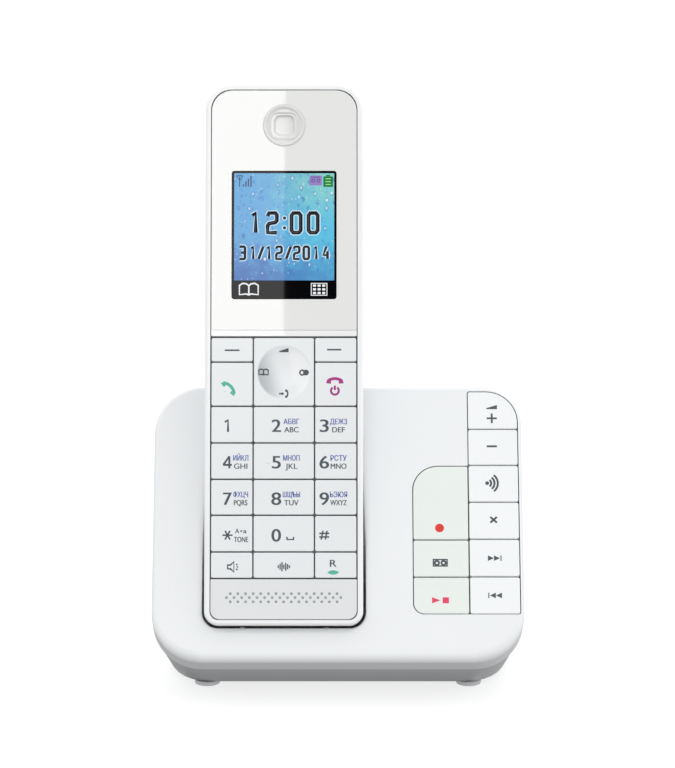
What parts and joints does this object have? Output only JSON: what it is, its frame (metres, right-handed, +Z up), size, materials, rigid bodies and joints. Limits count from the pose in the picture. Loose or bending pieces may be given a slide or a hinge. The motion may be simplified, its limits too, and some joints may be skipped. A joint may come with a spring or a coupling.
{
  "type": "cordless phone with base",
  "caption": "Slim white cordless handset with colour screen and square keys, leaning in a wide tilted charging base that has two columns of answering-machine keys.",
  "frame": {"origin": "middle of the overall box, on the surface that the rubber feet stand on", "axes": "+X to the right of the keys as a user sees them, +Y to the back, +Z up"},
  "size_m": [0.105, 0.0814, 0.1689],
  "materials": {
    "case_white": "satin pearl white moulded plastic",
    "key_white": "semi-gloss white key caps",
    "answer_key_white": "semi-gloss faintly green white key caps",
    "panel_gloss": "high-gloss pearl white front panel",
    "rim_silver": "polished pearl silver rim",
    "screen": "glossy colour display with a black surround",
    "black_plastic": "matt black moulded plastic",
    "circuit_board": "green solder mask",
    "keypad_rubber": "grey silicone",
    "foot_rubber": "grey rubber",
    "contact_steel": "plated spring steel",
    "cell_wrap": "printed cell wrap"
  },
  "bodies": {
    "base": {"base_front_shell": "case_white", "base_rear_shell": "case_white", "base_pcb": "circuit_board", "base_speaker": "black_plastic", "base_keypad_membrane": "keypad_rubber", "base_rubber_feet": "foot_rubber", "base_screws": "contact_steel", "line_jack": "black_plastic", "dc_jack": "black_plastic"},
    "handset": {"handset_front_frame": "rim_silver", "handset_front_panel": "panel_gloss", "handset_lcd": "screen", "handset_earpiece_ring": "panel_gloss", "handset_receiver": "black_plastic", "handset_rear_cover": "case_white", "handset_pcb": "circuit_board", "handset_keypad_membrane": "keypad_rubber", "handset_lower_panel": "key_white", "handset_microphone": "contact_steel", "handset_ringer_speaker": "black_plastic", "handset_charge_plates": "contact_steel", "handset_screws": "contact_steel", "battery_cell_left": "cell_wrap", "battery_cell_right": "cell_wrap", "battery_contacts": "contact_steel"},
    "battery_cover": {"battery_cover": "case_white"},
    "navigator_pivot": {"navigator_pivot": "black_plastic"},
    "navigator_key": {"navigator_key": "key_white"},
    "charge_contact_left": {"charge_contact_left": "contact_steel"},
    "charge_contact_right": {"charge_contact_right": "contact_steel"},
    "soft_key_left": {"soft_key_left": "key_white"},
    "soft_key_right": {"soft_key_right": "key_white"},
    "talk_key": {"talk_key": "key_white"},
    "off_key": {"off_key": "key_white"},
    "key_1": {"key_1": "key_white"},
    "key_2": {"key_2": "key_white"},
    "key_3": {"key_3": "key_white"},
    "key_4": {"key_4": "key_white"},
    "key_5": {"key_5": "key_white"},
    "key_6": {"key_6": "key_white"},
    "key_7": {"key_7": "key_white"},
    "key_8": {"key_8": "key_white"},
    "key_9": {"key_9": "key_white"},
    "key_star": {"key_star": "key_white"},
    "key_0": {"key_0": "key_white"},
    "key_hash": {"key_hash": "key_white"},
    "speakerphone_key": {"speakerphone_key": "key_white"},
    "noise_reduction_key": {"noise_reduction_key": "key_white"},
    "recall_key": {"recall_key": "key_white"},
    "volume_up_key": {"volume_up_key": "key_white"},
    "volume_down_key": {"volume_down_key": "key_white"},
    "locator_key": {"locator_key": "key_white"},
    "erase_key": {"erase_key": "key_white"},
    "next_key": {"next_key": "key_white"},
    "previous_key": {"previous_key": "key_white"},
    "record_key": {"record_key": "answer_key_white"},
    "greeting_key": {"greeting_key": "answer_key_white"},
    "play_stop_key": {"play_stop_key": "answer_key_white"}
  },
  "joints": [
    {"name": "handset_lift", "type": "slide", "parent": "base", "child": "handset", "axis": [0, 0.3256, 0.9455], "range_m": [0, 0.1]},
    {"name": "soft_key_left_press", "type": "slide", "parent": "handset", "child": "soft_key_left", "axis": [0, 0.9455, -0.3256], "range_m": [0, 0.0005], "stiffness_N_per_m": 300, "springref_m": -0.0008},
    {"name": "soft_key_right_press", "type": "slide", "parent": "handset", "child": "soft_key_right", "axis": [0, 0.9455, -0.3256], "range_m": [0, 0.0005], "stiffness_N_per_m": 300, "springref_m": -0.0008},
    {"name": "talk_key_press", "type": "slide", "parent": "handset", "child": "talk_key", "axis": [0, 0.9455, -0.3256], "range_m": [0, 0.0005], "stiffness_N_per_m": 300, "springref_m": -0.0008},
    {"name": "off_key_press", "type": "slide", "parent": "handset", "child": "off_key", "axis": [0, 0.9455, -0.3256], "range_m": [0, 0.0005], "stiffness_N_per_m": 300, "springref_m": -0.0008},
    {"name": "key_1_press", "type": "slide", "parent": "handset", "child": "key_1", "axis": [0, 0.9455, -0.3256], "range_m": [0, 0.0005], "stiffness_N_per_m": 300, "springref_m": -0.0008},
    {"name": "key_2_press", "type": "slide", "parent": "handset", "child": "key_2", "axis": [0, 0.9455, -0.3256], "range_m": [0, 0.0005], "stiffness_N_per_m": 300, "springref_m": -0.0008},
    {"name": "key_3_press", "type": "slide", "parent": "handset", "child": "key_3", "axis": [0, 0.9455, -0.3256], "range_m": [0, 0.0005], "stiffness_N_per_m": 300, "springref_m": -0.0008},
    {"name": "key_4_press", "type": "slide", "parent": "handset", "child": "key_4", "axis": [0, 0.9455, -0.3256], "range_m": [0, 0.0005], "stiffness_N_per_m": 300, "springref_m": -0.0008},
    {"name": "key_5_press", "type": "slide", "parent": "handset", "child": "key_5", "axis": [0, 0.9455, -0.3256], "range_m": [0, 0.0005], "stiffness_N_per_m": 300, "springref_m": -0.0008},
    {"name": "key_6_press", "type": "slide", "parent": "handset", "child": "key_6", "axis": [0, 0.9455, -0.3256], "range_m": [0, 0.0005], "stiffness_N_per_m": 300, "springref_m": -0.0008},
    {"name": "key_7_press", "type": "slide", "parent": "handset", "child": "key_7", "axis": [0, 0.9455, -0.3256], "range_m": [0, 0.0005], "stiffness_N_per_m": 300, "springref_m": -0.0008},
    {"name": "key_8_press", "type": "slide", "parent": "handset", "child": "key_8", "axis": [0, 0.9455, -0.3256], "range_m": [0, 0.0005], "stiffness_N_per_m": 300, "springref_m": -0.0008},
    {"name": "key_9_press", "type": "slide", "parent": "handset", "child": "key_9", "axis": [0, 0.9455, -0.3256], "range_m": [0, 0.0005], "stiffness_N_per_m": 300, "springref_m": -0.0008},
    {"name": "key_star_press", "type": "slide", "parent": "handset", "child": "key_star", "axis": [0, 0.9455, -0.3256], "range_m": [0, 0.0005], "stiffness_N_per_m": 300, "springref_m": -0.0008},
    {"name": "key_0_press", "type": "slide", "parent": "handset", "child": "key_0", "axis": [0, 0.9455, -0.3256], "range_m": [0, 0.0005], "stiffness_N_per_m": 300, "springref_m": -0.0008},
    {"name": "key_hash_press", "type": "slide", "parent": "handset", "child": "key_hash", "axis": [0, 0.9455, -0.3256], "range_m": [0, 0.0005], "stiffness_N_per_m": 300, "springref_m": -0.0008},
    {"name": "speakerphone_key_press", "type": "slide", "parent": "handset", "child": "speakerphone_key", "axis": [0, 0.9455, -0.3256], "range_m": [0, 0.0005], "stiffness_N_per_m": 300, "springref_m": -0.0008},
    {"name": "noise_reduction_key_press", "type": "slide", "parent": "handset", "child": "noise_reduction_key", "axis": [0, 0.9455, -0.3256], "range_m": [0, 0.0005], "stiffness_N_per_m": 300, "springref_m": -0.0008},
    {"name": "recall_key_press", "type": "slide", "parent": "handset", "child": "recall_key", "axis": [0, 0.9455, -0.3256], "range_m": [0, 0.0005], "stiffness_N_per_m": 300, "springref_m": -0.0008},
    {"name": "navigator_left_right", "type": "hinge", "parent": "handset", "child": "navigator_pivot", "pos_m": [-0.01525, -0.01288, 0.09022], "axis": [0, 0.3256, 0.9455], "range_deg": [-2.5, 2.5], "stiffness_Nm_per_rad": 0.02},
    {"name": "navigator_up_down", "type": "hinge", "parent": "navigator_pivot", "child": "navigator_key", "pos_m": [-0.01525, -0.01397, 0.0906], "axis": [1, 0, 0], "range_deg": [-2.5, 2.5], "stiffness_Nm_per_rad": 0.02},
    {"name": "battery_cover_open", "type": "hinge", "parent": "handset", "child": "battery_cover", "pos_m": [-0.01525, 0.00583, 0.09235], "axis": [-1, 0, 0], "range_deg": [0, 55]},
    {"name": "volume_up_key_press", "type": "slide", "parent": "base", "child": "volume_up_key", "axis": [0, 0.829, -0.5592], "range_m": [0, 0.0006], "stiffness_N_per_m": 300, "springref_m": -0.0008},
    {"name": "volume_down_key_press", "type": "slide", "parent": "base", "child": "volume_down_key", "axis": [0, 0.829, -0.5592], "range_m": [0, 0.0006], "stiffness_N_per_m": 300, "springref_m": -0.0008},
    {"name": "locator_key_press", "type": "slide", "parent": "base", "child": "locator_key", "axis": [0, 0.829, -0.5592], "range_m": [0, 0.0006], "stiffness_N_per_m": 300, "springref_m": -0.0008},
    {"name": "erase_key_press", "type": "slide", "parent": "base", "child": "erase_key", "axis": [0, 0.829, -0.5592], "range_m": [0, 0.0006], "stiffness_N_per_m": 300, "springref_m": -0.0008},
    {"name": "next_key_press", "type": "slide", "parent": "base", "child": "next_key", "axis": [0, 0.829, -0.5592], "range_m": [0, 0.0006], "stiffness_N_per_m": 300, "springref_m": -0.0008},
    {"name": "previous_key_press", "type": "slide", "parent": "base", "child": "previous_key", "axis": [0, 0.829, -0.5592], "range_m": [0, 0.0006], "stiffness_N_per_m": 300, "springref_m": -0.0008},
    {"name": "record_key_press", "type": "slide", "parent": "base", "child": "record_key", "axis": [0, 0.829, -0.5592], "range_m": [0, 0.0006], "stiffness_N_per_m": 300, "springref_m": -0.0008},
    {"name": "greeting_key_press", "type": "slide", "parent": "base", "child": "greeting_key", "axis": [0, 0.829, -0.5592], "range_m": [0, 0.0006], "stiffness_N_per_m": 300, "springref_m": -0.0008},
    {"name": "play_stop_key_press", "type": "slide", "parent": "base", "child": "play_stop_key", "axis": [0, 0.829, -0.5592], "range_m": [0, 0.0006], "stiffness_N_per_m": 300, "springref_m": -0.0008},
    {"name": "charge_contact_left_press", "type": "slide", "parent": "base", "child": "charge_contact_left", "axis": [0, -0.3256, -0.9455], "range_m": [0, 0.001], "stiffness_N_per_m": 300, "springref_m": -0.0008},
    {"name": "charge_contact_right_press", "type": "slide", "parent": "base", "child": "charge_contact_right", "axis": [0, -0.3256, -0.9455], "range_m": [0, 0.001], "stiffness_N_per_m": 300, "springref_m": -0.0008}
  ]
}
